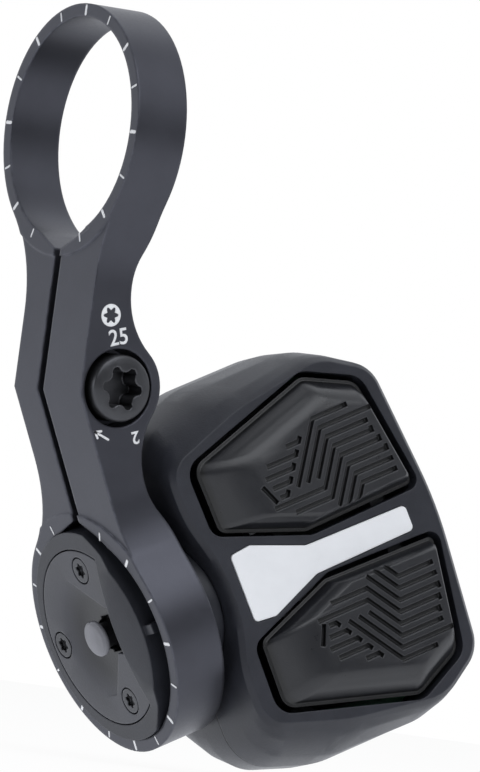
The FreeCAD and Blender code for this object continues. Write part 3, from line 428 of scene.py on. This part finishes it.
TICK_MID_R = 11.72
TICK_LENGTH = 0.78
TICK_WIDE = 0.36
TICK_NARROW = 0.22
TICK_COUNT = 16
BAR_DIAL_SKIP = 12
POD_DIAL_SKIP = 4


def ring_ticks(name, place, skip):
    """Dial marks on the near face of a ring, wide and narrow in turn, but none at the slit."""
    bm = bmesh.new()
    half = TICK_LENGTH / 2
    for i in range(TICK_COUNT):
        if i == skip:
            continue
        turn = 2 * math.pi * i / TICK_COUNT
        out = Vector((math.cos(turn), math.sin(turn)))
        width = TICK_WIDE if i % 2 == 0 else TICK_NARROW
        plate(bm, stroke(out * (TICK_MID_R - half), out * (TICK_MID_R + half), width), place)
    finish_piece(name, bm, "clamp", PAINT)


ring_ticks("bar_ring_ticks", BAR_DIAL, BAR_DIAL_SKIP)
ring_ticks("pod_ring_ticks", POD_DIAL, POD_DIAL_SKIP)

KEY_MARK = (-0.32, -18.10)
KEY_MARK_R = 1.13
KEY_MARK_STEPS = 48
STAR_POINTS = 6
STAR_OUT = 0.86
STAR_IN = 0.5
STAR_TURN = math.radians(8)


def key_mark():
    """White disc with a bare six-point star, for the key that fits the bolt."""
    bm = bmesh.new()
    turns = [2 * math.pi * i / KEY_MARK_STEPS for i in range(KEY_MARK_STEPS)]
    waves = [0.5 + 0.5 * math.cos(STAR_POINTS * (turn - STAR_TURN)) for turn in turns]
    disc = [KEY_MARK_R] * KEY_MARK_STEPS
    star = [STAR_IN + (STAR_OUT - STAR_IN) * wave for wave in waves]
    loops = []
    for radii in (disc, star):
        for height in (PAINT_LOW, PAINT_HIGH):
            loop = []
            for r, turn in zip(radii, turns):
                x, z = KEY_MARK[0] + r * math.cos(turn), KEY_MARK[1] + r * math.sin(turn)
                loop.append(bm.verts.new(ARM_FACE @ Vector((x, z, height)) * MM))
            loops.append(loop)
    out_low, out_high, in_low, in_high = loops
    for a, b in ((out_low, out_high), (out_high, in_high), (in_high, in_low), (in_low, out_low)):
        strip(bm, a, b)
    finish_piece("key_mark", bm, "clamp", PAINT)


key_mark()

# Name, numeral, middle on the arm's front face, height in millimetres and turn in degrees
NUMERALS = (
    ("size_two", "2", (0.36, -20.35), 1.64, 19),
    ("size_five", "5", (1.46, -20.03), 1.64, 16),
    ("torque_two", "2", (4.39, -29.67), 1.28, 198),
)
NUMERAL_SHARE = 0.72
NUMERAL_HALF_T = 0.03
NUMERAL_BOLD = 0.035
NUMERAL_STEPS = 6


def numeral(name, text, centre, height, turn_deg):
    """A painted numeral in the front face of the arm."""
    curve = bpy.data.curves.new(name, "FONT")
    curve.body = text
    curve.align_x, curve.align_y = "CENTER", "CENTER"
    curve.size = height * MM / NUMERAL_SHARE
    curve.extrude = NUMERAL_HALF_T * MM
    curve.offset = NUMERAL_BOLD * MM
    curve.resolution_u = NUMERAL_STEPS
    written = bpy.data.objects.new(name, curve)
    scene.collection.objects.link(written)
    turn = Matrix.Rotation(math.radians(turn_deg), 4, "Z")
    place = ARM_FACE @ Matrix.Translation(Vector((*centre, 0))) @ turn
    written.matrix_world = Matrix.Translation(place.translation * MM) @ place.to_3x3().to_4x4()
    bpy.context.view_layer.update()
    shaped = written.evaluated_get(bpy.context.evaluated_depsgraph_get())
    mesh = bpy.data.meshes.new_from_object(shaped)
    piece = bpy.data.objects.new(name + "_paint", mesh)
    piece.matrix_world = written.matrix_world.copy()
    bpy.data.objects.remove(written)
    scene.collection.objects.link(piece)
    mesh.materials.clear()
    mesh.materials.append(PAINT)
    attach(piece, "clamp")


for row in NUMERALS:
    numeral(*row)

ARROW_TIP = (-0.32, -29.75)
ARROW_ENDS = ((1.30, -30.30), (0.36, -29.57), (0.04, -30.31))
ARROW_WIDTH = 0.24


def torque_arrow():
    """Arrow that shows which way the bolt is tightened."""
    bm = bmesh.new()
    for end in ARROW_ENDS:
        plate(bm, stroke(ARROW_TIP, end, ARROW_WIDTH), ARM_FACE)
    finish_piece("torque_arrow", bm, "clamp", PAINT)


torque_arrow()

# Wedges in the V-shaped notches, where the slit of the clamp meets its bores
FILL_REACH = 2.2
FILL_DEPTH = 0.1
FILL_INSET = 0.004


def notch_fill(name, place):
    """Wedge that leads the bore of a ring into the front flank of its notch without a step."""
    bm = bmesh.new()
    y_end = -SLIT_OFFSET - 2 * NOTCH_HALF
    y_in = y_end + FILL_REACH
    y_out = y_end - FILL_DEPTH
    z_end = -math.sqrt(BAR_R ** 2 - y_end ** 2)
    z_flank = NOTCH_DEPTH - BAR_R
    z_in = z_flank - FILL_REACH * NOTCH_DEPTH / NOTCH_HALF
    z_out = -math.sqrt(BAR_R ** 2 - y_out ** 2)
    corners = ((y_out, z_out), (y_out, z_out - FILL_DEPTH), (y_end, z_flank - FILL_DEPTH),
               (y_in, z_in - FILL_DEPTH), (y_in, z_in), (y_end, z_end))
    near, far = ([bm.verts.new(place @ Vector((x, y, z)) * MM) for y, z in corners]
                 for x in (NEAR_X + FILL_INSET, -NEAR_X - FILL_INSET))
    close_solid(bm, near, far)
    finish_piece(name, bm, "clamp", FINISHES["clamp_metal"])


notch_fill("bar_notch_fill", Matrix.Identity(4))
notch_fill("pod_notch_fill", basis(POD_RING, -POD_AXIS, (0, 1, 0)))


# Camera
back = -VIEW_FORWARD.normalized()
right = (VIEW_RIGHT - back * VIEW_RIGHT.dot(back)).normalized()
up = back.cross(right)
camera_data = bpy.data.cameras.new("camera")
camera_data.sensor_width = SENSOR
camera_data.lens = SENSOR * VIEW_DISTANCE / VIEW_HEIGHT
camera_data.clip_start = CLIP_START
camera = bpy.data.objects.new("camera", camera_data)
camera.matrix_world = (Matrix.Translation(VIEW_POINT + back * VIEW_DISTANCE)
                       @ Matrix((right, up, back)).transposed().to_4x4())
scene.collection.objects.link(camera)
scene.camera = camera


# Floor, world and lamps, in metres and watts
WHITE = (1.0, 1.0, 1.0)
COOL_LIGHT = (0.93, 0.955, 1.0)
FLOOR_R = 0.9
FLOOR_SEGMENTS = 96
FLOOR_DROP = 0.001
FLOOR_TONES = ((0.93, 0.93, 0.92), (0.96, 0.96, 0.955))
FLOOR_NOISE = 14.0
FLOOR_ROUGHNESS = 0.8
FLOOR_SEEN = 0.94
FLOOR_LIGHT = 1.15
FLOOR_GLOW, FLOOR_FRONT = 1.0, 0.2
FLOOR_FADE = (-0.02, 0.06)


def floor():
    """Pale light table: it glows less on the photographer's side and keeps the object's shadow."""
    bm = bmesh.new()
    bmesh.ops.create_circle(bm, cap_ends=True, segments=FLOOR_SEGMENTS, radius=FLOOR_R)
    mesh = bpy.data.meshes.new("floor")
    bm.to_mesh(mesh)
    bm.free()
    piece = bpy.data.objects.new("floor", mesh)
    piece.location = (VIEW_POINT.x, VIEW_POINT.y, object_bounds()[0].z - FLOOR_DROP)
    scene.collection.objects.link(piece)
    material = bpy.data.materials.new("floor")
    material.use_nodes = True
    tree = material.node_tree
    shader = tree.nodes["Principled BSDF"]
    shader.inputs["Roughness"].default_value = FLOOR_ROUGHNESS
    place = tree.nodes.new("ShaderNodeTexCoord").outputs["Object"]
    paths = tree.nodes.new("ShaderNodeLightPath").outputs
    camera_ray = paths["Is Camera Ray"]
    glow = tree.nodes.new("ShaderNodeEmission")
    level = ramp(tree, dot_product(tree, place, -VIEW_FORWARD), *FLOOR_FADE, FLOOR_GLOW, FLOOR_FRONT)
    level = math_node(tree, "MAXIMUM", level, paths["Is Glossy Ray"])
    seen = math_node(tree, "MULTIPLY", camera_ray, FLOOR_SEEN)
    unseen = math_node(tree, "MULTIPLY", math_node(tree, "SUBTRACT", 1.0, camera_ray), level)
    mixed = tree.nodes.new("ShaderNodeMixShader")
    links(
        tree,
        (blend(tree, noise(tree, place, FLOOR_NOISE), *FLOOR_TONES), shader.inputs["Base Color"]),
        (ramp(tree, camera_ray, 0.0, 1.0, FLOOR_LIGHT, 1.0), glow.inputs["Strength"]),
        (blend(tree, camera_ray, COOL_LIGHT, WHITE), glow.inputs["Color"]),
        (math_node(tree, "ADD", seen, unseen), mixed.inputs["Fac"]),
        (shader.outputs["BSDF"], mixed.inputs[1]),
        (glow.outputs["Emission"], mixed.inputs[2]),
        (mixed.outputs["Shader"], tree.nodes["Material Output"].inputs["Surface"]),
    )
    mesh.materials.append(material)
    piece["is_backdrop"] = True


floor()

WORLD_SIDES = 0.56
WORLD_FRONT = 0.07
WORLD_FADE = (-0.35, 0.75)


def studio_world():
    """White for the camera; for the object bright around it, and dark on the photographer's side."""
    world = bpy.data.worlds.new("studio")
    world.use_nodes = True
    scene.world = world
    tree = world.node_tree
    background = tree.nodes["Background"]
    ray = tree.nodes.new("ShaderNodeTexCoord").outputs["Generated"]
    paths = tree.nodes.new("ShaderNodeLightPath").outputs
    sides = ramp(tree, paths["Is Glossy Ray"], 0.0, 1.0, WORLD_SIDES, 1.0)
    dark = ramp(tree, dot_product(tree, ray, -VIEW_FORWARD), *WORLD_FADE, 1.0, WORLD_FRONT)
    seen = math_node(tree, "MAXIMUM", paths["Is Camera Ray"], paths["Is Transmission Ray"])
    strength = tree.nodes.new("ShaderNodeMix")
    strength.inputs["B"].default_value = 1.0
    links(
        tree,
        (blend(tree, seen, COOL_LIGHT, WHITE), background.inputs["Color"]),
        (seen, strength.inputs["Factor"]),
        (math_node(tree, "MULTIPLY", sides, dark), strength.inputs["A"]),
        (strength.outputs["Result"], background.inputs["Strength"]),
    )


studio_world()

# Name, place, width and height, and power; each one is aimed at the object
LAMPS = (
    ("key", (-0.6, 0.1, 0.0), (0.3, 0.25), 0.6),
    ("top", (0.1, 0.2, 0.6), (0.5, 0.4), 0.4),
    ("front", (-0.05, -0.6, 0.55), (0.9, 0.7), 4.5),
)


def lamp(name, spot, size, watts):
    data = bpy.data.lights.new(name, "AREA")
    data.shape = "RECTANGLE"
    data.size, data.size_y = size
    data.energy = watts
    data.color = COOL_LIGHT
    piece = bpy.data.objects.new(name, data)
    piece.location = Vector(spot)
    piece.rotation_euler = (VIEW_POINT - piece.location).to_track_quat("-Z", "Y").to_euler()
    scene.collection.objects.link(piece)


for row in LAMPS:
    lamp(*row)

scene.view_settings.view_transform = "Standard"
